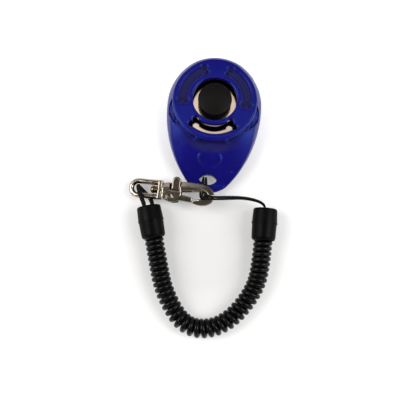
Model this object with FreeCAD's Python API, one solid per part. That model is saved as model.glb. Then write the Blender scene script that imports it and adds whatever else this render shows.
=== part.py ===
import FreeCAD, Part
import math
import os

os.makedirs("parts", exist_ok=True)
V = FreeCAD.Vector

# Frame: millimetres, +Z up from the surface that the clicker lies on, +Y to the clicker's head,
# origin under the middle of the clicker's bounding box.

# ---- driving dimensions -------------------------------------------------------------------
BUTTON_Y = 9.3            # button axis, from the origin
HEAD_R, HEAD_Y = 22.2, BUTTON_Y + 0.2
SIDE_R = 55.0
TAIL_R, TAIL_Y = 12.6, BUTTON_Y - 28.6
PART_Z = 2.6              # parting line between the shells
WALL = 1.6
FACE_Z = 16.5             # flat face of the raised disc, at the button's axis
FACE_TILT = 3.2           # degrees that the face falls towards the head
DISC_R = 19.4
DISC_EDGE = 1.1
HOLE_R = 10.1
ROOF = 2.2                # thickness of the disc's roof
TOP_R, TOP_Y = 97.0, BUTTON_Y + 8.0    # side view: the back is an arc of this radius
BACK_Z = 16.0
DIP_R, DIP_Y = 12.0, -26.0             # and a hollow one flattens the tail
BELLY_R, BELLY_Y = 125.0, -12.0        # the belly lifts under the tail
LENS_W, LENS_H, LENS_Y = 8.4, 4.7, -25.95

BONE_R, BONE_ARM, BONE_ANGLE = 14.6, 3.95, 37.5
SLOT_R, SLOT_ARM = 14.3, 4.3
LOBE_R, LOBE_OFF = 1.45, 1.4
RECESS = 1.2

PLATE_Z, PLATE_T, PLATE_W = 10.8, 0.35, 20.5
BUTTON_R, BUTTON_TOP = 7.8, 17.5
STEM_R = 2.2

CORD_D = 0.95             # thin cord
STRAP_D = 1.95            # thick cord
COIL_D = 8.8
SLEEVE_R, SLEEVE_L, CAP_L = 5.8, 14.6, 7.0
SLEEVE_Z = SLEEVE_R + 0.2


# ---- helpers ------------------------------------------------------------------------------
def save(name, *solids):
    """Write one node. Several solids stay separate solids of one group."""
    shape = solids[0] if len(solids) == 1 else Part.makeCompound(list(solids))
    shape.exportStep("parts/%s.step" % name)
    print(name, len(shape.Solids), "solids", round(shape.Volume, 2), "mm3",
          "valid" if shape.isValid() else "NOT VALID")


def fused(first, *rest):
    for other in rest:
        first = first.fuse(other)
    return first.removeSplitter()


def cylinder(r, z0, z1, x=0.0, y=0.0):
    return Part.makeCylinder(r, z1 - z0, V(x, y, z0))


def box(x0, x1, y0, y1, z0, z1):
    return Part.makeBox(x1 - x0, y1 - y0, z1 - z0, V(x0, y0, z0))


def polar(r, degrees):
    """Point at radius r round the button, degrees clockwise from the head."""
    a = math.radians(degrees)
    return r * math.sin(a), BUTTON_Y + r * math.cos(a)


def arc_edge(centre, r, a0, a1):
    """Arc in the plane z = centre.z, counted anticlockwise from a0 to a1 (radians)."""
    at = lambda a: centre + V(r * math.cos(a), r * math.sin(a), 0)
    return Part.Arc(at(a0), at((a0 + a1) / 2), at(a1)).toShape()


def egg(z, inset=0.0):
    """Egg outline of four tangent arcs, moved inwards by inset."""
    a, b, d = SIDE_R - HEAD_R, SIDE_R - TAIL_R, HEAD_Y - TAIL_Y
    t = (a * a - b * b + d * d) / (2 * d)
    h = math.sqrt(a * a - t * t)
    head, tail = V(0, HEAD_Y, z), V(0, TAIL_Y, z)
    right, left = V(-h, HEAD_Y - t, z), V(h, HEAD_Y - t, z)
    up = math.atan2(t, h)
    down = math.atan2(t - d, h)
    edges = [arc_edge(head, HEAD_R - inset, up, math.pi - up),
             arc_edge(left, SIDE_R - inset, math.pi - up, math.pi - down),
             arc_edge(tail, TAIL_R - inset, math.pi - down, 2 * math.pi + down),
             arc_edge(right, SIDE_R - inset, down, up)]
    return Part.Wire(edges)


def lofted(levels, extra=0.0):
    return Part.makeLoft([egg(z, i + extra) for z, i in levels], True, False)


def side_profile(shrink=0.0, low=None):
    """Prism along X that bounds the clicker in side view, between belly and back."""
    r, cz = TOP_R - shrink, BACK_Z - TOP_R
    at = lambda y: V(0, y, cz + math.sqrt(r * r - (y - TOP_Y) ** 2))
    join = at(DIP_Y)
    out = V(0, (DIP_Y - TOP_Y) / r, (join.z - cz) / r)
    dip_r = DIP_R + shrink
    dip = join + out * dip_r
    on_dip = lambda y: V(0, y, dip.z - math.sqrt(dip_r ** 2 - (y - dip.y) ** 2))
    end = -36.0
    back = [Part.Arc(at(36.0), at(5.0), join).toShape(),
            Part.Arc(join, on_dip((join.y + end) / 2), on_dip(end)).toShape()]
    if low is None:
        belly = lambda y: V(0, y, BELLY_R - math.sqrt(BELLY_R ** 2 - (y - BELLY_Y) ** 2))
        under = [Part.LineSegment(on_dip(end), belly(end)).toShape(),
                 Part.Arc(belly(end), belly((end + BELLY_Y) / 2), belly(BELLY_Y)).toShape(),
                 Part.LineSegment(V(0, BELLY_Y, 0), V(0, 36.0, 0)).toShape(),
                 Part.LineSegment(V(0, 36.0, 0), at(36.0)).toShape()]
    else:
        under = [Part.LineSegment(on_dip(end), V(0, end, low)).toShape(),
                 Part.LineSegment(V(0, end, low), V(0, 36.0, low)).toShape(),
                 Part.LineSegment(V(0, 36.0, low), at(36.0)).toShape()]
    face = Part.Face(Part.Wire(back + under))
    face.translate(V(-30, 0, 0))
    return face.extrude(V(60, 0, 0))


def lens(z0, z1, grow=0.0):
    """Half-moon lanyard hole: a flat arc to the head, a fuller one to the tail, round ends."""
    w, h = LENS_W / 2 + grow, LENS_H + 2 * grow
    low, high = LENS_Y - h * 0.51, LENS_Y + h * 0.49
    wire = Part.Wire([Part.Arc(V(-w, LENS_Y, z0), V(0, high, z0), V(w, LENS_Y, z0)).toShape(),
                      Part.Arc(V(w, LENS_Y, z0), V(0, low, z0), V(-w, LENS_Y, z0)).toShape()])
    solid = Part.Face(wire).extrude(V(0, 0, z1 - z0))
    corners = [e for e in solid.Edges if abs(abs(e.Vertexes[0].X) - w) < 1e-6
               and abs(e.Vertexes[0].Z - e.Vertexes[-1].Z) > 1]
    return solid.makeFillet(0.9, corners)


def tilted(shape):
    """A feature of the disc, turned with its sloping face."""
    shape = shape.copy()
    shape.rotate(V(0, BUTTON_Y, FACE_Z), V(1, 0, 0), -FACE_TILT)
    return shape


def bone(middle, z0, z1, r=BONE_R, arm_w=BONE_ARM):
    """Bone-shaped prism bent round the button, its middle at this angle from the head."""
    start = 90 - middle - BONE_ANGLE
    outer = Part.makeCylinder(r + arm_w / 2, z1 - z0, V(0, BUTTON_Y, z0),
                              V(0, 0, 1), 2 * BONE_ANGLE)
    inner = Part.makeCylinder(r - arm_w / 2, z1 - z0 + 2, V(0, BUTTON_Y, z0 - 1))
    outer.rotate(V(0, BUTTON_Y, 0), V(0, 0, 1), start)
    arm = outer.cut(inner)
    lobes = []
    for end in (-BONE_ANGLE, BONE_ANGLE):
        for off in (-LOBE_OFF, LOBE_OFF):
            x, y = polar(r + off, middle + end)
            lobes.append(cylinder(LOBE_R, z0, z1, x, y))
    return arm.multiFuse(lobes)


def revolved(profile, origin, axis):
    """Solid of revolution from (distance along axis, radius) points, closed on the axis."""
    pts = [V(r, 0, t) for t, r in profile]
    wire = Part.makePolygon(pts + [pts[0]])
    solid = Part.Face(wire).revolve(V(0, 0, 0), V(0, 0, 1), 360)
    solid = Part.makeSolid(solid.Shells[0]) if not solid.Solids else solid.Solids[0]
    return placed(solid, origin, axis)


def placed(shape, origin, axis):
    turn = FreeCAD.Rotation(V(0, 0, 1), axis)
    shape = shape.copy()
    shape.Placement = FreeCAD.Placement(origin, turn).multiply(shape.Placement)
    return shape


def route(points, label):
    """Wire of straight runs joined by tangent arcs."""
    pts = [V(*p) for p in points]
    edges, radii, here = [], [], pts[0]
    for a, b, c in zip(pts, pts[1:], pts[2:]):
        into, away = (b - a).normalize(), (c - b).normalize()
        half = into.getAngle(away) / 2
        cut = 0.45 * min(a.distanceToPoint(b), b.distanceToPoint(c))
        start, end = b - into * cut, b + away * cut
        r = cut / math.tan(half)
        radii.append(round(r, 1))
        inward = (away - into).normalize()
        middle = b + inward * (r / math.cos(half) - r)
        edges.append(Part.LineSegment(here, start).toShape())
        edges.append(Part.Arc(start, middle, end).toShape())
        here = end
    edges.append(Part.LineSegment(here, pts[-1]).toShape())
    print(label, "arc radii", radii)
    return Part.Wire(edges)


def tube(points, d, label):
    path = route(points, label)
    start, along = V(*points[0]), V(*points[1]) - V(*points[0])
    ring = Part.Wire(Part.makeCircle(d / 2, start, along))
    solid = path.makePipeShell([ring], True, False)
    print(label, "volume / (section x length) =",
          round(solid.Volume / (math.pi * d * d / 4 * path.Length), 4),
          "length", round(path.Length, 1))
    return solid


# ---- clicker shells -----------------------------------------------------------------------
OUTER_TOP = [(PART_Z, 0.0), (7.0, 0.1), (11.0, 0.7), (14.0, 2.0), (16.2, 4.4)]
OUTER_LOW = [(0.0, 2.6), (0.8, 1.1), (PART_Z, 0.0)]
SCREWS = [polar(15.6, -66), polar(15.6, 66), (0.0, BUTTON_Y - 24.5)]
PLATE_SCREWS = [(-5.5, BUTTON_Y + 13.9), (5.5, BUTTON_Y + 13.9)]


def make_top_shell():
    body = lofted(OUTER_TOP).common(side_profile(low=PART_Z))
    rim = [e for e in body.Edges if e.BoundBox.ZMin > PART_Z + 1.0 and e.Length > 12.0]
    body = body.makeFillet(1.0, rim)
    disc = cylinder(DISC_R, 8.0, FACE_Z, 0, BUTTON_Y)
    disc = disc.makeFillet(DISC_EDGE, [e for e in disc.Edges if e.BoundBox.ZMin > FACE_Z - 0.1])
    bump = [(8.0, 0), (8.0, 1.15), (FACE_Z - 1.2, 1.15), (FACE_Z - 0.8, 0.8), (FACE_Z - 0.8, 0)]
    knuckles = [revolved(bump, V(*polar(DISC_R - 0.3, 180 + a), 0), V(0, 0, 1))
                for a in (-54, -19, 19, 54)]
    for knuckle in knuckles:
        disc = disc.fuse(knuckle)
    body = fused(body, tilted(disc))
    # crescent pockets beside the disc
    guards = []
    for side in (-1, 1):
        x, y = side * 12.6, BUTTON_Y - 4.6
        disc_hole = tilted(cylinder(DISC_R + 0.1, 8.0, 22.0, 0, BUTTON_Y))
        body = body.cut(cylinder(8.2, 12.6, 20.0, x, y).cut(disc_hole))
        guards.append(cylinder(9.3, 11.4, 20.0, x, y).cut(cylinder(17.5, 10, 21, 0, BUTTON_Y)))
    # plain oval thumb pad on the slope
    pad = Part.Ellipse(V(0, 0, 0), 4.9, 4.0).toShape()
    pad = Part.Face(Part.Wire(pad))
    pad.translate(V(0, BUTTON_Y - 26.4, 5.0))
    pad = pad.extrude(V(0, 0, 10)).common(side_profile(shrink=-0.25, low=4.0))
    body = fused(body, pad)
    # inside
    inside = lofted([(z, i) for z, i in OUTER_TOP], WALL).common(side_profile(WALL, low=PART_Z))
    inside = inside.common(box(-30, 30, -19.8, 40, -1, 30))
    inside = inside.fuse(tilted(cylinder(DISC_R - 1.8, 10.0, FACE_Z - ROOF, 0, BUTTON_Y)))
    inside = inside.common(tilted(box(-40, 40, -50, 50, -10, FACE_Z - ROOF)))
    posts = [cylinder(2.3, PART_Z, 15.0, *p) for p in SCREWS[:2]]
    posts.append(cylinder(2.3, PART_Z, 11.5, *SCREWS[2]))
    for solid in posts + guards:
        inside = inside.cut(solid)
    body = body.cut(inside)
    for p in SCREWS:
        body = body.cut(cylinder(1.04, PART_Z - 1, 8.6, *p))
    # button hole, slot, recesses, lanyard hole
    body = body.cut(cylinder(HOLE_R, 5.0, 20.0, 0, BUTTON_Y))
    body = body.cut(bone(180, 9.0, 20.0, SLOT_R, SLOT_ARM))
    for middle in (-60, 60):
        body = body.cut(tilted(bone(middle, FACE_Z - RECESS, 20.0)))
        for end in (-BONE_ANGLE, BONE_ANGLE):
            x, y = polar(BONE_R, middle + end)
            body = body.fuse(tilted(cylinder(1.1, FACE_Z - RECESS - 0.2, FACE_Z - RECESS + 0.3,
                                             x, y)))
    body = body.cut(lens(-1.0, 12.0))
    return body.removeSplitter()


def make_bottom_shell():
    body = lofted(OUTER_LOW)
    keep = side_profile()
    body = body.common(keep)
    tray = Part.Face(egg(WALL, WALL + 0.6)).extrude(V(0, 0, 3))
    tray = tray.common(box(-30, 30, -19.8, 40, -1, 30))
    for p in SCREWS:
        tray = tray.cut(cylinder(3.2, -1, 5, *p))
    body = body.cut(tray)
    for p in SCREWS:
        body = body.cut(cylinder(2.15, -1.0, 1.5, *p)).cut(cylinder(1.15, -1.0, 5.0, *p))
    posts = [cylinder(2.5, 0.8, PLATE_Z - PLATE_T, *p) for p in PLATE_SCREWS]
    body = fused(body, *posts)
    for p in PLATE_SCREWS:
        body = body.cut(cylinder(0.94, 4.0, 20.0, *p))
    return body.cut(lens(-1.0, 12.0, 0.9))


def pan_screw(x, y, z_seat, up, head_r, head_h, shank_r, length):
    """Self-tapping screw, head on the outer side of z_seat; up = 1 points the tip upwards."""
    pts = [(0, 0), (0, head_r * 0.75), (head_h * 0.45, head_r), (head_h, head_r),
           (head_h, shank_r), (head_h + length - 0.6, shank_r), (head_h + length, 0.25),
           (head_h + length, 0)]
    screw = revolved(pts, V(x, y, z_seat - up * head_h), V(0, 0, up))
    drive = [box(x - 0.25, x + 0.25, y - 1.1, y + 1.1, 0, 0.5),
             box(x - 1.1, x + 1.1, y - 0.25, y + 0.25, 0, 0.5)]
    base = z_seat - up * head_h if up > 0 else z_seat + head_h - 0.5
    for d in drive:
        d.translate(V(0, 0, base))
        screw = screw.cut(d)
    return screw


save("top_shell", make_top_shell())
save("bottom_shell", make_bottom_shell())
save("case_screws", *[pan_screw(x, y, 1.5, 1, 2.0, 1.1, 1.0, 6.5) for x, y in SCREWS])
save("plate_screws", *[pan_screw(x, y, PLATE_Z, -1, 1.9, 1.2, 0.9, 5.5)
                       for x, y in PLATE_SCREWS])


# ---- click plate and button ---------------------------------------------------------------
def make_plate():
    half = PLATE_W / 2
    strip = box(-half, half, BUTTON_Y - 17.3, BUTTON_Y + 19, PLATE_Z - PLATE_T, PLATE_Z)
    strip = strip.common(cylinder(DISC_R - 2.1, 8.0, 14.0, 0, BUTTON_Y))
    strip = strip.cut(cylinder(STEM_R + 0.05, 8.0, 14.0, 0, BUTTON_Y))
    for p in PLATE_SCREWS:
        strip = strip.cut(cylinder(1.0, 8.0, 14.0, *p))
    return strip


def make_button():
    dome = 0.9
    r = BUTTON_R - 0.35
    ball = (r * r + dome * dome) / (2 * dome)
    side = revolved([(PLATE_Z, 0), (PLATE_Z, BUTTON_R - 0.3), (BUTTON_TOP + 1, BUTTON_R),
                     (BUTTON_TOP + 1, 0)], V(0, BUTTON_Y, 0), V(0, 0, 1))
    cap = Part.makeSphere(ball, V(0, BUTTON_Y, BUTTON_TOP - ball))
    body = side.common(cap)
    rim = [e for e in body.Edges if e.BoundBox.ZMin > PLATE_Z + 2 and e.BoundBox.XLength > 12]
    body = body.makeFillet(0.7, rim[:1])
    return fused(body, cylinder(STEM_R, PLATE_Z - 1.7, PLATE_Z + 1, 0, BUTTON_Y))


save("click_plate", make_plate())
save("button", make_button())
save("button_retainer", cylinder(4.0, PLATE_Z - 0.95, PLATE_Z - PLATE_T, 0, BUTTON_Y).cut(
    cylinder(STEM_R, 8.0, 13.0, 0, BUTTON_Y)))


# ---- end sleeves --------------------------------------------------------------------------
RIGHT_TOP, RIGHT_AXIS = V(27.55, -37.3, SLEEVE_Z), V(0, -1, 0)
LEFT_TOP, LEFT_AXIS = V(-26.1, -40.9, SLEEVE_Z), V(0.2627, -0.9649, 0)


def make_sleeve(top, axis, hole_r):
    lip, step, bore = 0.14, 0.15, 4.55
    cap = revolved([(0, hole_r), (0, 4.9), (0.25, 5.3), (0.8, 5.5), (CAP_L - 0.45, SLEEVE_R),
                    (CAP_L - 0.4, SLEEVE_R + lip), (CAP_L, SLEEVE_R + lip), (CAP_L, 4.2),
                    (1.6, 4.2), (1.6, hole_r)], top, axis)
    barrel = revolved([(CAP_L, SLEEVE_R - step), (SLEEVE_L - 1.2, SLEEVE_R - 0.35),
                       (SLEEVE_L - 0.5, 5.25), (SLEEVE_L, 4.85), (SLEEVE_L, bore), (4.6, bore),
                       (4.2, 3.2), (4.2, 3.0), (3.4, 3.0), (3.4, 4.15), (CAP_L, 4.15)],
                      top, axis)
    return cap, barrel


right_cap, right_barrel = make_sleeve(RIGHT_TOP, RIGHT_AXIS, 1.15)
left_cap, left_barrel = make_sleeve(LEFT_TOP, LEFT_AXIS, 3.2)
save("right_sleeve_cap", right_cap)
save("right_sleeve_barrel", right_barrel)
save("left_sleeve_cap", left_cap)
save("left_sleeve_barrel", left_barrel)


def make_knot(top, axis, r):
    """Plain disc-shaped knot that stops the cord ends behind the cap's mouth."""
    return revolved([(1.7, 0), (1.7, r - 0.3), (2.0, r), (3.0, r), (3.3, r - 0.4), (3.3, 0)],
                    top, axis)


save("thin_cord_knot", make_knot(RIGHT_TOP, RIGHT_AXIS, 1.9))
save("strap_cord_knot", make_knot(LEFT_TOP, LEFT_AXIS, 3.4))


# ---- cords --------------------------------------------------------------------------------
COIL_ROUTE = [(27.55, -46.5, 6.0), (27.55, -60.5, 6.0), (25.7, -75.2, 4.5), (13.0, -92.2, 4.5),
              (-3.9, -94.8, 4.5), (-15.2, -79.8, 4.5), (-19.84, -63.89, 5.9),
              (-23.52, -50.39, 6.0)]
# one length: out of the right cap, over the hook's arm, down past the tail, under its bar, up
# through the hole, back over the bar, round both standing strands, and home the same way
THIN_ROUTE = [(27.55, -39.1, 6.52), (27.55, -36.2, 6.6), (24.4, -34.0, 7.3),
              (17.5, -33.15, 8.3), (10.0, -33.75, 9.9), (3.4, -34.7, 11.7), (-0.7, -34.3, 11.35),
              (-0.75, -34.3, 6.2), (-0.8, -33.3, 0.6), (-1.0, -28.8, 0.55), (-1.0, -25.0, 0.6),
              (-1.0, -25.0, 5.5), (-0.2, -29.5, 5.55), (0.35, -35.3, 5.45),
              (-3.05, -35.3, 5.45), (-2.8, -29.5, 5.6), (-2.1, -25.0, 5.9),
              (-2.1, -25.0, 0.6), (-2.0, -28.8, 0.55), (-1.95, -33.3, 0.6),
              (-1.9, -34.4, 6.2), (-1.9, -34.6, 9.0), (-0.9, -35.8, 12.0), (3.4, -36.0, 11.7),
              (10.0, -34.9, 9.6), (17.5, -33.6, 7.2), (24.4, -34.3, 6.1),
              (27.55, -36.2, 5.5), (27.55, -39.1, 5.48)]
STRAP_ROUTE = [(-27.18, -43.79, 6.5), (-28.1, -40.4, 6.55), (-29.8, -37.0, 6.7),
               (-31.1, -34.2, 6.65), (-31.95, -31.6, 5.7), (-31.9, -31.5, 1.15),
               (-28.6, -34.3, 1.05), (-25.8, -36.9, 1.6), (-24.6, -39.6, 4.6),
               (-23.78, -42.9, 5.3)]
save("coil", tube(COIL_ROUTE, COIL_D, "coil"))
save("thin_cord", tube(THIN_ROUTE, CORD_D, "thin_cord"))
save("strap_cord", tube(STRAP_ROUTE, STRAP_D, "strap_cord"))


# ---- swivel clasp, drawn in its own frame: u along it from the eye, v to its spine, w up -----
CLASP_AT = V(-35.85, -32.3, 3.45)
CLASP_DROP, CLASP_RISE = math.radians(2.3), math.radians(7.9)
PIN_U, PIN_V, PIN_R = 19.6, -2.8, 0.8
HOOK_T = 1.8              # half thickness of the hook
SLOT_T = 1.3              # half width of the slot in which the gate turns
RIDGE_DROP, RIDGE_WIDTH = 1.3, 2.4      # bevel from the ridge down to the outer rim
TAB = (20.1, 23.7)        # the thumb tab's sides along the clasp
KNOB_V = 4.95
GATE_OPEN = 12.0          # degrees that the gate opens


def clasp_frame(shape):
    cb, sb = math.cos(CLASP_DROP), math.sin(CLASP_DROP)
    ca, sa = math.cos(CLASP_RISE), math.sin(CLASP_RISE)
    u, v = V(cb * ca, -sb * ca, sa), V(sb, cb, 0)
    w = u.cross(v)
    m = FreeCAD.Matrix(u.x, v.x, w.x, CLASP_AT.x, u.y, v.y, w.y, CLASP_AT.y,
                       u.z, v.z, w.z, CLASP_AT.z, 0, 0, 0, 1)
    shape = shape.copy()
    shape.Placement = FreeCAD.Placement(m).multiply(shape.Placement)
    return shape


def smooth(points, z):
    curve = Part.BSplineCurve()
    curve.interpolate([V(u, v, z) for u, v in points])
    return curve.toShape()


def make_eye():
    bar, end, straight, r = 3.35, 4.1, 14.2, 1.25
    path = Part.Wire([
        Part.LineSegment(V(straight, bar, 0), V(end, bar, 0)).toShape(),
        Part.Arc(V(end, bar, 0), V(end - bar, 0, 0), V(end, -bar, 0)).toShape(),
        Part.LineSegment(V(end, -bar, 0), V(straight, -bar, 0)).toShape()])
    ring = Part.Wire(Part.makeCircle(r, V(straight, bar, 0), V(1, 0, 0)))
    loop = path.makePipeShell([ring], True, False)
    cross = Part.makeBox(1.8, 9.0, 2.8, V(13.5, -4.5, -1.4))
    cross = cross.makeFillet(0.5, [e for e in cross.Edges if e.BoundBox.XLength > 1.5])
    cross = cross.cut(Part.makeCylinder(1.05, 6, V(11, 0, 0), V(1, 0, 0)))
    return fused(loop, cross)


def make_rivet():
    return revolved([(9.9, 0), (9.9, 0.7), (10.2, 1.3), (10.7, 1.7), (11.3, 1.85), (11.7, 1.8),
                     (11.7, 1.55), (12.7, 1.55), (12.7, 1.8), (13.4, 1.8), (13.4, 1.0),
                     (16.6, 1.0), (16.6, 0)], V(0, 0, 0), V(1, 0, 0))


def turned(u, v):
    """A point of the gate when it is fully open."""
    a = math.radians(GATE_OPEN)
    return (PIN_U + (u - PIN_U) * math.cos(a) - (v - PIN_V) * math.sin(a),
            PIN_V + (u - PIN_U) * math.sin(a) + (v - PIN_V) * math.cos(a))


def prism(points, w0, w1):
    wire = Part.makePolygon([V(u, v, w0) for u, v in points + points[:1]])
    return Part.Face(wire).extrude(V(0, 0, w1 - w0))


def make_hook():
    z = -HOOK_T
    outer = [(15.7, 3.5), (20, 4.3), (26, 4.9), (32, 5.0), (36.7, 3.9), (39.6, 0.9),
             (39.4, -2.6), (36.8, -4.8), (33, -5.2), (30.3, -4.6)]
    inner = [(30.6, -3.4), (32.0, -2.6), (34.4, -2.3), (36.3, -1.3), (36.4, 0.1), (34.6, 0.9),
             (30.0, 0.7), (24.6, 0.3)]
    corners = [(24.6, 0.3), (24.5, -2.0), (23.1, -4.7), (20.6, -5.1), (15.7, -3.8), (15.7, 3.5)]
    edges = [smooth(outer, z), Part.makeLine(V(*outer[-1], z), V(*inner[0], z)),
             smooth(inner, z)]
    edges += [Part.makeLine(V(*a, z), V(*b, z)) for a, b in zip(corners, corners[1:])]
    body = Part.Face(Part.Wire(edges)).extrude(V(0, 0, 2 * HOOK_T))
    flat = lambda e: e.BoundBox.ZLength < 1e-3
    rim = [e for e in body.Edges if flat(e) and e.Length > 25 and e.BoundBox.ZMin > 0]
    body = body.makeChamfer(RIDGE_DROP, RIDGE_WIDTH, rim)
    lip = [e for e in body.Edges if flat(e) and 10 < e.Length < 25 and e.BoundBox.ZMin > 1]
    body = body.makeChamfer(0.6, 0.9, lip[:1])
    rim = [e for e in body.Edges if flat(e) and e.Length > 25 and e.BoundBox.ZMin < -1]
    body = body.makeFillet(0.8, rim)
    body = body.cut(Part.makeBox(8.2, 7.4, 2 * SLOT_T, V(16.9, -6.5, -SLOT_T)))
    gap = 0.15
    left = [turned(TAB[0], v) for v in (0.2, 5.5)]
    notch = [(left[0][0] - gap, 0.3), (left[1][0] - gap, 6.5), (TAB[1] + gap, 6.5),
             (TAB[1] + gap, 0.3)]
    body = body.cut(prism(notch, -SLOT_T, 6.0))
    body = body.cut(Part.makeCylinder(PIN_R, 10, V(PIN_U, PIN_V, -5)))
    return body.cut(Part.makeCylinder(1.0, 1.2, V(15.5, 0, 0), V(1, 0, 0)))


def make_lever():
    t = SLOT_T - 0.15
    arm = prism([(19.6, -1.1), (24.4, -1.15), (29.9, -1.9), (29.9, -4.3), (24.4, -3.9),
                 (19.6, -4.5)], -t, t)
    ends = [e for e in arm.Edges if e.BoundBox.XMin > 29.8]
    arm = arm.makeFillet(0.35, ends)
    hub = Part.makeCylinder(1.7, 2 * t, V(PIN_U, PIN_V, -t))
    stalk = prism([(TAB[0], -3.0), (TAB[0], 0.85), (TAB[1], 0.85), (TAB[1], -3.0)], -t, t)
    tab = prism([(TAB[0], 0.7), (TAB[0], 5.6), (TAB[1], 5.6), (TAB[1], 0.7)], -t, 2.0)
    middle = (TAB[0] + TAB[1]) / 2
    knob = Part.makeCylinder(1.9, 3.9, V(middle, KNOB_V, -1.8))
    knob = knob.common(Part.makeBox(8, 4, 8, V(middle - 4, KNOB_V, -4)))
    knob = knob.makeFillet(0.55, knob.Edges)
    body = fused(arm, hub, stalk, tab, knob)
    body = body.cut(Part.makeCylinder(PIN_R + 0.05, 10, V(PIN_U, PIN_V, -5)))
    return body.cut(Part.makeCylinder(1.45, 2, V(PIN_U, PIN_V, 0.5)))


def make_pin():
    head = [(HOOK_T, PIN_R), (HOOK_T, 1.7), (HOOK_T + 0.25, 1.9), (HOOK_T + 0.5, 1.7),
            (HOOK_T + 0.5, 1.1), (HOOK_T + 0.2, 0.8), (HOOK_T + 0.2, 0)]
    tail = [(-t, r) for t, r in reversed(head)]
    return revolved(tail + head, V(PIN_U, PIN_V, 0), V(0, 0, 1))


spring = Part.makeCylinder(1.35, 0.5, V(PIN_U, PIN_V, 0.6))
spring = spring.cut(Part.makeCylinder(0.95, 3, V(PIN_U, PIN_V, -1)))
save("swivel_eye", clasp_frame(make_eye()))
save("swivel_rivet", clasp_frame(make_rivet()))
save("hook_body", clasp_frame(make_hook()))
save("gate_lever", clasp_frame(make_lever()))
save("gate_pin", clasp_frame(make_pin()))
save("gate_spring", clasp_frame(spring))
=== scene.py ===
import math

import bpy
import bmesh
from mathutils import Matrix, Vector


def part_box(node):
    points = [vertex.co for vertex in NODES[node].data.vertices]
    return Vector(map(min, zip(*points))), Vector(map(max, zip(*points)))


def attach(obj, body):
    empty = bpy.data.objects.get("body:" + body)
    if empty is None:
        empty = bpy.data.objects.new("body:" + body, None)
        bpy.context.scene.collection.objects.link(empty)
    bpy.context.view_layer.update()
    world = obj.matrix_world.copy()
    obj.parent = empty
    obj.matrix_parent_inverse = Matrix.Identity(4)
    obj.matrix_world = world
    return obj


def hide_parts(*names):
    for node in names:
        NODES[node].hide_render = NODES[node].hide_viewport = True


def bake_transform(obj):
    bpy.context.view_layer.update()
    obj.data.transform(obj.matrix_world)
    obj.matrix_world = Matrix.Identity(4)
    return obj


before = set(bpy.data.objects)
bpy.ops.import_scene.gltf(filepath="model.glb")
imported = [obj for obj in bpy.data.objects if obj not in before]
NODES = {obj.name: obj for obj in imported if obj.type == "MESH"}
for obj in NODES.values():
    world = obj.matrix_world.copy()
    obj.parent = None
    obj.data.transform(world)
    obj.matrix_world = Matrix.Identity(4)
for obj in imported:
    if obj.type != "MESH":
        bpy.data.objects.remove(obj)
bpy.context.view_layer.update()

MM = 0.001


def mm(*xyz):
    return Vector(xyz) * MM


def centre_of(node):
    low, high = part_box(node)
    return (low + high) / 2


def add_object(name, data):
    made = bpy.data.objects.new(name, data)
    bpy.context.scene.collection.objects.link(made)
    return made


# ---- camera -------------------------------------------------------------------------------
def make_camera():
    place = mm(0.4764, -72.5047, 267.3724)
    look_at = mm(-2.864, -35.0767, 0)
    roll, view_angle = math.radians(5.1), math.radians(38.4666)
    forward = (look_at - place).normalized()
    right = Vector((math.cos(roll), math.sin(roll), 0))
    up = right.cross(forward)
    camera = add_object("camera", bpy.data.cameras.new("camera"))
    turn = Matrix((right, up, -forward)).transposed().to_4x4()
    camera.matrix_world = Matrix.Translation(place) @ turn
    camera.data.angle = view_angle
    camera.data.clip_start = 10 * MM
    bpy.context.scene.camera = camera


make_camera()


# ---- mesh helpers -------------------------------------------------------------------------
def add_mesh(name, verts, faces):
    """Smooth-shaded mesh object."""
    mesh = bpy.data.meshes.new(name)
    mesh.from_pydata([tuple(v) for v in verts], [], faces)
    mesh.validate()
    mesh.polygons.foreach_set("use_smooth", [True] * len(mesh.polygons))
    return add_object(name, mesh)


def route_points(name, points):
    """Points read from the smooth NURBS line that has these control points (mm)."""
    curve = bpy.data.curves.new(name + "_route", "CURVE")
    curve.dimensions = "3D"
    spline = curve.splines.new("NURBS")
    spline.points.add(len(points) - 1)
    for point, xyz in zip(spline.points, points):
        point.co = (*mm(*xyz), 1)
    spline.order_u = 3
    spline.use_endpoint_u = True
    spline.resolution_u = 24
    holder = bpy.data.objects.new(name + "_route", curve)
    mesh = bpy.data.meshes.new_from_object(holder)
    line = [v.co.copy() for v in mesh.vertices]
    bpy.data.objects.remove(holder)
    bpy.data.meshes.remove(mesh)
    return line


def evenly(line, step):
    """The same line with its points a step apart."""
    lengths = [0.0]
    for a, b in zip(line, line[1:]):
        lengths.append(lengths[-1] + (b - a).length)
    count = max(2, round(lengths[-1] / step))
    out, k = [], 0
    for i in range(count + 1):
        s = lengths[-1] * i / count
        while k < len(line) - 2 and lengths[k + 1] < s:
            k += 1
        span = lengths[k + 1] - lengths[k]
        out.append(line[k].lerp(line[k + 1], (s - lengths[k]) / span if span > 0 else 0))
    return out


def along(line):
    """(point, side, other side) at each point of a line, turning as little as it can."""
    frames, side = [], Vector((0, 0, 1))
    for i, p in enumerate(line):
        ahead = (line[min(i + 1, len(line) - 1)] - line[max(i - 1, 0)]).normalized()
        side = (side - ahead * side.dot(ahead)).normalized()
        frames.append((p, side, ahead.cross(side)))
    return frames


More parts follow.
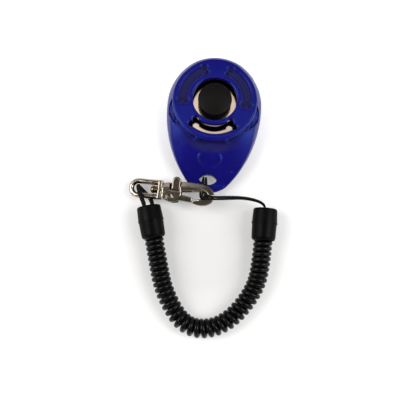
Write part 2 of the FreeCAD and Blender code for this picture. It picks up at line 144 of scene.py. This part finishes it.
def tube(name, line, radius, around):
    """Closed mesh tube round a line; radius(i, angle) may carve a relief into its skin."""
    verts, faces = [], []
    for i, (p, a, b) in enumerate(along(line)):
        for k in range(around):
            t = 2 * math.pi * k / around
            verts.append(p + (a * math.cos(t) + b * math.sin(t)) * radius(i, t))
    for i in range(len(line) - 1):
        for k in range(around):
            n = (k + 1) % around
            faces.append((i * around + k, (i + 1) * around + k,
                          (i + 1) * around + n, i * around + n)[::-1])
    faces.append(tuple(range(around)))
    faces.append(tuple(range((len(line) - 1) * around, len(line) * around))[::-1])
    piece = add_mesh(name, verts, faces)
    bm = bmesh.new()
    bm.from_mesh(piece.data)
    bmesh.ops.recalc_face_normals(bm, faces=bm.faces)
    bm.to_mesh(piece.data)
    bm.free()
    return piece


# ---- cords --------------------------------------------------------------------------------
# All in mm. The coil starts to fan out BEND_REACH from the route's middle, and is fully fanned
# out BEND_FADE further in.
COIL_D, COIL_WIRE = 8.8, 2.25
PITCH_LEGS, PITCH_BEND = 2.33, 2.8
BEND_REACH, BEND_FADE = 34.0, 16.0
CORD_D, STRAP_D = 0.95, 1.95
COIL_STEP, BRAID_STEP, PATH_STEP = 0.1, 0.12, 0.3
WIRE_SIDES, BRAID_SIDES = 14, 24

COIL_ROUTE = [(27.55, -46.5, 6.0), (27.55, -60.5, 6.0), (25.7, -75.2, 4.5), (13.0, -92.2, 4.5),
              (-3.9, -94.8, 4.5), (-15.2, -79.8, 4.5), (-19.84, -63.89, 5.9),
              (-23.52, -50.39, 6.0)]
THIN_ROUTE = [(27.55, -39.1, 6.52), (27.55, -36.2, 6.6), (24.4, -34.0, 7.3),
              (17.5, -33.15, 8.3), (10.0, -33.85, 9.95), (3.4, -34.9, 11.75), (-0.7, -34.3, 11.35),
              (-0.75, -34.3, 6.2), (-0.8, -33.3, 0.6), (-1.0, -28.8, 0.55), (-1.0, -25.0, 0.6),
              (-1.0, -25.0, 5.5), (-0.2, -29.5, 5.55), (0.35, -35.3, 5.45),
              (-3.05, -35.3, 5.45), (-2.8, -29.5, 5.6), (-2.1, -25.0, 5.9),
              (-2.1, -25.0, 0.6), (-2.0, -28.8, 0.55), (-1.95, -33.3, 0.6),
              (-1.9, -34.4, 6.2), (-1.9, -34.6, 9.0), (-0.9, -35.8, 12.0), (3.4, -35.85, 11.6),
              (10.0, -34.75, 9.5), (17.5, -33.6, 7.2), (24.4, -34.3, 6.1),
              (27.55, -36.2, 5.5), (27.55, -39.1, 5.48)]
STRAP_ROUTE = [(-27.18, -43.79, 6.5), (-28.1, -40.4, 6.55), (-29.8, -37.0, 6.7),
               (-31.1, -34.2, 6.65), (-31.95, -31.6, 5.7), (-31.9, -31.5, 1.15),
               (-28.6, -34.3, 1.05), (-25.8, -36.9, 1.6), (-24.6, -39.6, 4.6),
               (-23.78, -42.9, 5.3)]


def length_of(line):
    return sum((b - a).length for a, b in zip(line, line[1:]))


def make_coil():
    """Curly cord: one wire wound round the route, close in the legs and fanned by the bend."""
    line = evenly(route_points("coil", COIL_ROUTE), COIL_STEP * MM)
    step = length_of(line) / (len(line) - 1)
    middle = (len(line) - 1) / 2
    winding = (COIL_D - COIL_WIRE) / 2 * MM
    wire, turns = [], 0.0
    for i, (p, a, b) in enumerate(along(line)):
        t = 2 * math.pi * turns
        wire.append(p + (a * math.cos(t) + b * math.sin(t)) * winding)
        away = abs(i - middle) * step / MM
        bend = min(1.0, max(0.0, (BEND_REACH - away) / BEND_FADE))
        pitch = PITCH_LEGS + (PITCH_BEND - PITCH_LEGS) * bend * bend * (3 - 2 * bend)
        turns += step / (pitch * MM)
    radius = COIL_WIRE / 2 * MM
    piece = tube("coil_cord", wire, lambda i, t: radius, WIRE_SIDES)
    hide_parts("coil")
    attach(piece, "case")
    return piece


def braided(name, line, diameter, carriers, pitch, relief):
    """Round braid: two sets of strands wind opposite ways and stand proud of the skin."""
    step = BRAID_STEP * MM

    def radius(i, t):
        s = 2 * math.pi * i * step / (pitch * MM)
        over = math.cos(carriers * t + s) * math.cos(carriers * t - s)
        return diameter / 2 * MM * (1 + relief * over)

    return tube(name, evenly(line, step), radius, BRAID_SIDES)


def make_thin_cord():
    line = route_points("thin_cord", THIN_ROUTE)
    piece = braided("thin_cord_braid", line, CORD_D, 3, 2.0, 0.05)
    path = evenly(line, PATH_STEP * MM)
    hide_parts("thin_cord")
    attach(piece, "case")
    return piece


def make_strap_cord():
    line = route_points("strap_cord", STRAP_ROUTE)
    piece = braided("strap_cord_braid", line, STRAP_D, 4, 4.4, 0.04)
    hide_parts("strap_cord")
    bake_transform(piece)
    path = evenly(line, PATH_STEP * MM)
    return piece


coil = make_coil()
thin_cord = make_thin_cord()
strap_cord = make_strap_cord()


# ---- shader helpers -----------------------------------------------------------------------
class Shader:
    """A Principled material, with short ways to add the nodes that shade it."""

    def __init__(self, name, colour, roughness, metallic=0.0):
        self.material = bpy.data.materials.new(name)
        self.material.use_nodes = True
        self.tree = self.material.node_tree
        self.surface = self.tree.nodes["Principled BSDF"]
        self.set("Base Color", (*colour, 1))
        self.set("Roughness", roughness)
        self.set("Metallic", metallic)
        self.coords = self.node("ShaderNodeTexCoord").outputs["Object"]

    def set(self, socket, value):
        self.surface.inputs[socket].default_value = value

    def node(self, kind, **values):
        made = self.tree.nodes.new(kind)
        for key, value in values.items():
            setattr(made, key, value)
        return made

    def link(self, out, into):
        self.tree.links.new(out, into)

    def to(self, out, socket):
        self.link(out, self.surface.inputs[socket])

    def noise(self, size, detail=3.0, rough=0.5, stretch=(1, 1, 1)):
        """Noise whose blobs measure about size millimetres."""
        mapping = self.node("ShaderNodeMapping")
        mapping.inputs["Scale"].default_value = stretch
        self.link(self.coords, mapping.inputs["Vector"])
        noise = self.node("ShaderNodeTexNoise")
        noise.inputs["Scale"].default_value = 1 / (size * MM)
        noise.inputs["Detail"].default_value = detail
        noise.inputs["Roughness"].default_value = rough
        self.link(mapping.outputs["Vector"], noise.inputs["Vector"])
        return noise.outputs["Fac"]

    def ramp(self, fac, stops):
        ramp = self.node("ShaderNodeValToRGB")
        elements = ramp.color_ramp.elements
        while len(elements) < len(stops):
            elements.new(0.5)
        for element, (place, colour) in zip(elements, stops):
            element.position = place
            element.color = (*colour, 1) if isinstance(colour, tuple) else (colour,) * 3 + (1,)
        self.link(fac, ramp.inputs["Fac"])
        return ramp.outputs["Color"]

    def mottle(self, size, detail, dark, light):
        """Noise that goes from one value or colour to another."""
        return self.ramp(self.noise(size, detail), [(0.3, dark), (0.7, light)])

    def math(self, operation, a, b):
        made = self.node("ShaderNodeMath", operation=operation)
        for socket, value in zip(made.inputs, (a, b)):
            if isinstance(value, (int, float)):
                socket.default_value = value
            else:
                self.link(value, socket)
        return made.outputs["Value"]

    def mix(self, fac, a, b):
        made = self.node("ShaderNodeMix", data_type="RGBA")
        factor, first, second = (made.inputs[i] for i in (0, 6, 7))
        for socket, value in ((factor, fac), (first, a), (second, b)):
            if isinstance(value, tuple):
                socket.default_value = (*value, 1)
            elif isinstance(value, (int, float)):
                socket.default_value = value
            else:
                self.link(value, socket)
        return made.outputs[2]

    def bump(self, height, distance, strength=1.0, under=None):
        made = self.node("ShaderNodeBump")
        made.inputs["Strength"].default_value = strength
        made.inputs["Distance"].default_value = distance * MM
        self.link(height, made.inputs["Height"])
        if under is not None:
            self.link(under, made.inputs["Normal"])
        return made.outputs["Normal"]

    def soft_edges(self, radius):
        """Normal that runs round the edges as if they were rounded by this radius (mm)."""
        made = self.node("ShaderNodeBevel", samples=6)
        made.inputs["Radius"].default_value = radius * MM
        return made.outputs["Normal"]

    def open_sky(self, distance):
        """1 in the open, falling to 0 in crevices narrower than distance (mm)."""
        made = self.node("ShaderNodeAmbientOcclusion", samples=8)
        made.inputs["Distance"].default_value = distance * MM
        return made.outputs["AO"]

    def separate(self, vector):
        """X, Y and Z outputs of a vector."""
        made = self.node("ShaderNodeSeparateXYZ")
        self.link(vector, made.inputs["Vector"])
        return made.outputs

    def band(self, value, low, high, soft):
        """1 between low and high, falling to 0 within soft outside them."""
        up = self.node("ShaderNodeMapRange", clamp=True)
        down = self.node("ShaderNodeMapRange", clamp=True)
        for made, a, b in ((up, low - soft, low), (down, high + soft, high)):
            self.link(value, made.inputs["Value"])
            made.inputs["From Min"].default_value = a
            made.inputs["From Max"].default_value = b
        return self.math("MULTIPLY", up.outputs["Result"], down.outputs["Result"])


def paint(material, *names):
    for name in names:
        piece = NODES[name] if isinstance(name, str) else name
        piece.data.materials.clear()
        piece.data.materials.append(material)


# ---- materials ----------------------------------------------------------------------------
def blue_plastic():
    """Deep blue moulded plastic: satin, rougher and greyer on the floors of the sunk patterns,
    as left by a textured mould; also rougher and greyer in a band on the back below the disc."""
    s = Shader("blue_plastic", (0.0036, 0.0020, 0.105), 0.34)
    s.set("IOR", 1.36)
    s.set("Specular IOR Level", 0.95)
    s.set("Specular Tint", (0.16, 0.28, 1.0, 1))
    # Each zone below is (low, high, soft edge) in metres.
    tilt, recess_floor, recess_ring = 0.0559, (0.01510, 0.01566, 0.00006), (0.0112, 0.0180, 0.0002)
    band_ring, band_sides = (0.0198, 0.0222, 0.0022), (-0.0070, 0.0070, 0.0070)
    band_heights, band_run = (0.0105, 0.0135, 0.0008), (-0.0300, 0.0, 0.0010)
    x, y, z = s.separate(s.coords)[:3]
    middle = centre_of("button")
    spot = s.node("ShaderNodeCombineXYZ")
    s.link(x, spot.inputs["X"])
    s.link(y, spot.inputs["Y"])
    reach = s.node("ShaderNodeVectorMath", operation="DISTANCE")
    s.link(spot.outputs["Vector"], reach.inputs[0])
    reach.inputs[1].default_value = (0, middle.y, 0)
    level = s.math("ADD", z, s.math("MULTIPLY", s.math("SUBTRACT", y, middle.y), tilt))
    floors = s.math("MULTIPLY", s.band(level, *recess_floor),
                    s.band(reach.outputs["Value"], *recess_ring))
    band = s.math("MULTIPLY", s.band(reach.outputs["Value"], *band_ring), s.band(x, *band_sides))
    band = s.math("MULTIPLY", band, s.band(z, *band_heights))
    band = s.math("MULTIPLY", band, s.band(y, *band_run))
    speckle = s.noise(0.5, 4.0, 0.6)
    base = s.mottle(9.0, 3.0, (0.0034, 0.0016, 0.105), (0.0048, 0.0024, 0.128))
    dull = s.ramp(speckle, [(0.35, (0.008, 0.005, 0.036)), (0.65, (0.018, 0.011, 0.062))])
    s.to(s.mix(s.math("MULTIPLY", band, 0.75), s.mix(floors, base, dull), dull), "Base Color")
    marks = s.math("MAXIMUM", floors, s.math("MULTIPLY", band, 0.6))
    scuffs = s.ramp(s.noise(3.0, 5.0), [(0.35, 0.30), (0.7, 0.40)])
    s.to(s.mix(marks, scuffs, (0.62, 0.62, 0.62)), "Roughness")
    rough = s.bump(s.math("MULTIPLY", speckle, marks), 0.12, 0.9, s.soft_edges(0.45))
    s.to(s.bump(s.noise(0.22, 4.0), 0.006, 0.5, rough), "Normal")
    return s.material


def black_plastic():
    """Matt black plastic of the button."""
    s = Shader("black_plastic", (0.0030, 0.0026, 0.0024), 0.45)
    s.set("Specular IOR Level", 0.10)
    s.to(s.mottle(2.5, 5.0, (0.0026, 0.0022, 0.0020), (0.0040, 0.0034, 0.0030)), "Base Color")
    s.to(s.mottle(1.5, 5.0, 0.38, 0.52), "Roughness")
    s.to(s.bump(s.noise(0.25, 4.0), 0.008, 0.5), "Normal")
    return s.material


def polished_steel():
    """Bright spring steel, with a warm cast and fine hairlines."""
    s = Shader("polished_steel", (0.33, 0.255, 0.20), 0.08, 1.0)
    hair = s.noise(0.25, 6.0, 0.6, (1, 0.03, 1))
    s.to(s.mottle(4.0, 4.0, (0.29, 0.22, 0.17), (0.37, 0.29, 0.23)), "Base Color")
    s.to(s.ramp(hair, [(0.3, 0.05), (0.7, 0.14)]), "Roughness")
    s.to(s.bump(hair, 0.0008, 0.3), "Normal")
    return s.material


def plated_steel(name, colour, roughness):
    """Small metal parts: lightly mottled, with painted shade in the crevices."""
    s = Shader(name, colour, roughness, 1.0)
    dark = tuple(c * 0.75 for c in colour)
    # painted shade: the colour goes nearly black where the surface is hemmed in, standing in for
    # shadow in crevices and between parts
    crevice_shade = s.ramp(s.open_sky(2.0), [(0.35, 1.0), (0.85, 0.0)])
    s.to(s.mix(crevice_shade, s.ramp(s.noise(0.8, 5.0), [(0.35, dark), (0.65, colour)]),
               (0.010, 0.008, 0.006)), "Base Color")
    s.to(s.mottle(0.5, 5.0, roughness * 0.8, roughness * 1.3), "Roughness")
    s.to(s.bump(s.noise(0.15, 3.0), 0.003, 0.4), "Normal")
    return s.material


def clasp_nickel(name, tone, roughness):
    """Antique nickel: warm grey plate, faintly brushed, darker in patches; painted shade in
    crevices.
    """
    s = Shader(name, tuple(c * tone for c in (0.36, 0.30, 0.235)), roughness, 1.0)
    dark, light = (tuple(c * tone for c in rgb)
                   for rgb in ((0.27, 0.22, 0.165), (0.45, 0.39, 0.315)))
    patches = s.noise(4.0, 2.0, 0.5)
    brush = s.noise(0.22, 3.0, 0.5, (0.08, 1, 1))
    tint = s.ramp(s.math("ADD", s.math("MULTIPLY", patches, 0.7), s.math("MULTIPLY", brush, 0.3)),
                  [(0.35, dark), (0.62, light)])
    # painted shade: nearly black in crevices and between parts, where shadow falls
    crevice_shade = s.ramp(s.open_sky(2.5), [(0.40, 1.0), (0.88, 0.0)])
    s.to(s.mix(crevice_shade, tint, (0.012, 0.009, 0.007)), "Base Color")
    s.to(s.ramp(brush, [(0.3, roughness * 0.85), (0.7, roughness * 1.2)]), "Roughness")
    s.to(s.bump(brush, 0.0008, 0.4, s.soft_edges(0.7)), "Normal")
    return s.material


def sleeve_plastic():
    """Black plastic with a faint warm shine and fine handling marks."""
    s = Shader("sleeve_plastic", (0.0014, 0.0012, 0.0013), 0.38)
    s.set("Specular IOR Level", 0.05)
    s.to(s.mottle(2.5, 4.0, (0.0009, 0.0008, 0.0009), (0.0016, 0.0013, 0.0013)), "Base Color")
    s.to(s.ramp(s.noise(1.2, 5.0, 0.6, (1, 0.3, 1)), [(0.3, 0.32), (0.7, 0.48)]), "Roughness")
    s.to(s.bump(s.noise(0.3, 5.0), 0.010, 0.5), "Normal")
    return s.material


def coil_plastic():
    """Glossy black plastic of the curly cord."""
    s = Shader("coil_plastic", (0.0012, 0.0012, 0.0014), 0.30)
    s.set("Specular IOR Level", 0.14)
    s.to(s.mottle(3.0, 4.0, (0.0010, 0.0010, 0.0012), (0.0018, 0.0017, 0.0019)), "Base Color")
    s.to(s.mottle(1.0, 5.0, 0.16, 0.32), "Roughness")
    s.to(s.bump(s.noise(0.5, 4.0), 0.012, 0.4), "Normal")
    return s.material


def cord_fibre(name):
    """Dull black woven fibre."""
    s = Shader(name, (0.002, 0.002, 0.002), 0.7)
    s.set("Specular IOR Level", 0.12)
    s.set("Sheen Weight", 0.02)
    s.set("Sheen Roughness", 0.5)
    s.to(s.mottle(0.3, 4.0, (0.0012, 0.0012, 0.0012), (0.0034, 0.0031, 0.0031)), "Base Color")
    s.to(s.mottle(0.5, 4.0, 0.6, 0.8), "Roughness")
    s.to(s.bump(s.noise(0.10, 3.0, 0.6, (1, 0.4, 1)), 0.03, 0.6), "Normal")
    return s.material


# ---- upper shell and click plate ----------------------------------------------------------
# All in mm.
BUTTON_Y, DISC_R, DISC_Z = 9.3, 19.4, 14.9     # the disc keeps its shape; its face is above this
PART_Z, BACK_H = 2.6, 13.4                     # parting line, and height of the back over it
BACK_R, BACK_AXIS = 97.0, (17.3, -81.0)        # arc of the back: radius, and y and z of its axis
SIDE_R, SIDE_AXIS = 55.0, (32.75, 7.63)        # side arcs of the outline
ROUND_IN, ROUND_TO, ROUND_R = 9.5, 1.3, 10.0   # flanks fall away from here, to here, this hard
EDGE_LIMITS = (16, 8, 4, 2.5, 1.6, 1.6)        # longest edge left by each pass of the refining
SHORTEST, TOUCHING = 0.02, 0.005               # slivers under this go, vertices this near merge
SHARP_ANGLE = 32                               # degrees


def back_height(y):
    """Height of the back in the side view, without the hollow in the tail (mm)."""
    return BACK_AXIS[1] + math.sqrt(BACK_R ** 2 - (y - BACK_AXIS[0]) ** 2)


def flank_drop(x, y):
    """Share of its height that the shell loses here, as its flank rounds over (mm)."""
    inside = SIDE_R - math.hypot(abs(x) + SIDE_AXIS[0], y - SIDE_AXIS[1])
    over = min(max(ROUND_IN - inside, 0.0), ROUND_IN - ROUND_TO)
    return over * over / (2 * ROUND_R) / BACK_H


def on_flank(v):
    """Whether a vertex belongs to the outside of a flank."""
    x, y, z = v.co / MM
    if math.hypot(x, y - BUTTON_Y) < DISC_R - 0.05 or z > back_height(y) + 0.35:
        return False
    return z > PART_Z + 0.01 and flank_drop(x, y) > 0


def to_refine(edge, longest):
    """Whether an edge of the shell's flanks or of the disc's face is too long."""
    return (edge.calc_length() > longest * MM
            and any(v.co.z > DISC_Z * MM or flank_drop(*(v.co / MM)[:2]) > 0 for v in edge.verts)
            and max(v.co.z for v in edge.verts) > (PART_Z + 1) * MM)


def split_into_triangles(bm):
    bmesh.ops.triangulate(bm, faces=[f for f in bm.faces if len(f.verts) > 3])


def drop_folded_faces(bm):
    """Merge touching vertices and take out pairs of triangles folded flat on each other."""
    bmesh.ops.remove_doubles(bm, verts=bm.verts[:], dist=TOUCHING * MM)
    groups = {}
    for face in bm.faces:
        groups.setdefault(frozenset(face.verts), []).append(face)
    folded = [face for group in groups.values() for face in group[len(group) % 2:]]
    bmesh.ops.delete(bm, geom=folded, context="FACES")


def make_top_shell():
    """Upper shell, its flanks rounded over towards the outline as on a moulded egg."""
    bm = bmesh.new()
    bm.from_mesh(NODES["top_shell"].data)
    bmesh.ops.remove_doubles(bm, verts=bm.verts[:], dist=1e-7)
    for longest in EDGE_LIMITS:
        edges = [e for e in bm.edges if to_refine(e, longest)]
        bmesh.ops.subdivide_edges(bm, edges=edges, cuts=1)
        split_into_triangles(bm)
    bmesh.ops.dissolve_degenerate(bm, edges=bm.edges[:], dist=SHORTEST * MM)
    split_into_triangles(bm)
    drop_folded_faces(bm)
    for v in [v for v in bm.verts if on_flank(v)]:
        x, y, z = v.co / MM
        v.co.z = (PART_Z + (z - PART_Z) * (1 - flank_drop(x, y))) * MM
    for face in bm.faces:
        face.smooth = True
    mesh = bpy.data.meshes.new("top_shell_moulding")
    bm.to_mesh(mesh)
    bm.free()
    mesh.set_sharp_from_angle(angle=math.radians(SHARP_ANGLE))
    piece = add_object("top_shell_moulding", mesh)
    weigh = piece.modifiers.new("weigh", "WEIGHTED_NORMAL")
    weigh.mode, weigh.weight, weigh.keep_sharp = "FACE_AREA_WITH_ANGLE", 50, True
    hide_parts("top_shell")
    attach(piece, "case")
    return piece


def make_click_plate():
    """Polished spring leaf: a flat-shaded copy of the CAD mesh."""
    bm = bmesh.new()
    bm.from_mesh(NODES["click_plate"].data)
    for face in bm.faces:
        face.smooth = False
    mesh = bpy.data.meshes.new("click_plate_leaf")
    bm.to_mesh(mesh)
    bm.free()
    piece = add_object("click_plate_leaf", mesh)
    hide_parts("click_plate")
    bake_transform(piece)
    return piece


top_shell = make_top_shell()
click_plate = make_click_plate()

paint(blue_plastic(), top_shell, "bottom_shell")
paint(black_plastic(), "button")
paint(polished_steel(), click_plate)
paint(plated_steel("screw_steel", (0.55, 0.55, 0.57), 0.3), "case_screws", "plate_screws")
paint(plated_steel("spring_steel", (0.38, 0.38, 0.4), 0.35), "button_retainer", "gate_spring")
paint(clasp_nickel("clasp_nickel", 1.0, 0.10), "swivel_eye", "hook_body")
paint(clasp_nickel("gate_nickel", 0.75, 0.11), "gate_lever")
paint(clasp_nickel("pin_nickel", 0.5, 0.10), "gate_pin")
paint(plated_steel("rivet_brass", (0.22, 0.15, 0.07), 0.14), "swivel_rivet")
paint(sleeve_plastic(), "right_sleeve_cap", "right_sleeve_barrel", "left_sleeve_cap",
      "left_sleeve_barrel")
paint(coil_plastic(), coil)
paint(cord_fibre("thin_black_cord"), thin_cord, "thin_cord_knot")
paint(cord_fibre("thick_black_cord"), strap_cord, "strap_cord_knot")


# ---- floor and light ----------------------------------------------------------------------
def make_floor():
    """White paper, with painted shade: darker round the lanyard than further out."""
    half, below, reach_of_fade = 3.0, 0.00002, 0.16
    floor = add_mesh("floor", [(-half, -half, 0), (half, -half, 0), (half, half, 0),
                               (-half, half, 0)], [(0, 1, 2, 3)])
    floor.location.z = -below
    s = Shader("floor_paper", (0.9, 0.9, 0.9), 0.9)
    s.set("Specular IOR Level", 0.0)
    reach = s.node("ShaderNodeVectorMath", operation="DISTANCE")
    s.link(s.coords, reach.inputs[0])
    reach.inputs[1].default_value = (0, -0.055, 0)
    # painted shade: the paper's colour darkens towards the middle of the lanyard loop, as the soft
    # shade round the objects
    s.to(s.ramp(s.math("DIVIDE", reach.outputs["Value"], reach_of_fade),
                [(0.12, (0.50, 0.49, 0.48)), (0.50, (0.96, 0.96, 0.96))]), "Base Color")
    s.set("Emission Color", (1.0, 1.0, 1.0, 1))
    s.set("Emission Strength", 0.30)
    floor.data.materials.append(s.material)


def area_light(name, place, aim, size, power):
    data = bpy.data.lights.new(name, "AREA")
    data.shape = "RECTANGLE"
    data.size, data.size_y = size
    data.energy = power
    lamp = add_object(name, data)
    lamp.location = place
    lamp.rotation_euler = (Vector(aim) - Vector(place)).to_track_quat("-Z", "Y").to_euler()


def make_world():
    """Surround that is bright near the horizon and dim overhead."""
    world = bpy.data.worlds.new("studio")
    bpy.context.scene.world = world
    world.use_nodes = True
    tree = world.node_tree
    back = tree.nodes["Background"]
    coords = tree.nodes.new("ShaderNodeTexCoord")
    split = tree.nodes.new("ShaderNodeSeparateXYZ")
    ramp = tree.nodes.new("ShaderNodeValToRGB")
    tree.links.new(coords.outputs["Generated"], split.inputs["Vector"])
    tree.links.new(split.outputs["Z"], ramp.inputs["Fac"])
    tree.links.new(ramp.outputs["Color"], back.inputs["Color"])
    stops = ramp.color_ramp.elements
    levels = ((0.0, 1.4), (0.22, 1.15), (0.46, 0.14), (0.85, 0.12), (1.0, 0.07))
    while len(stops) < len(levels):
        stops.new(0.5)
    for stop, (place, level) in zip(stops, levels):
        stop.position, stop.color = place, (level, level, level, 1)
    back.inputs["Strength"].default_value = 1.0


make_floor()
make_world()
area_light("left_softbox", (-0.42, -0.02, 0.44), (0, -0.03, 0), (0.30, 0.40), 2.7)
area_light("right_softbox", (0.42, -0.02, 0.44), (0, -0.03, 0), (0.30, 0.40), 2.7)
area_light("top_softbox", (0.0, 0.185, 0.57), (0, -0.01, 0), (0.46, 0.14), 0.40)
bpy.context.scene.view_settings.view_transform = "Standard"
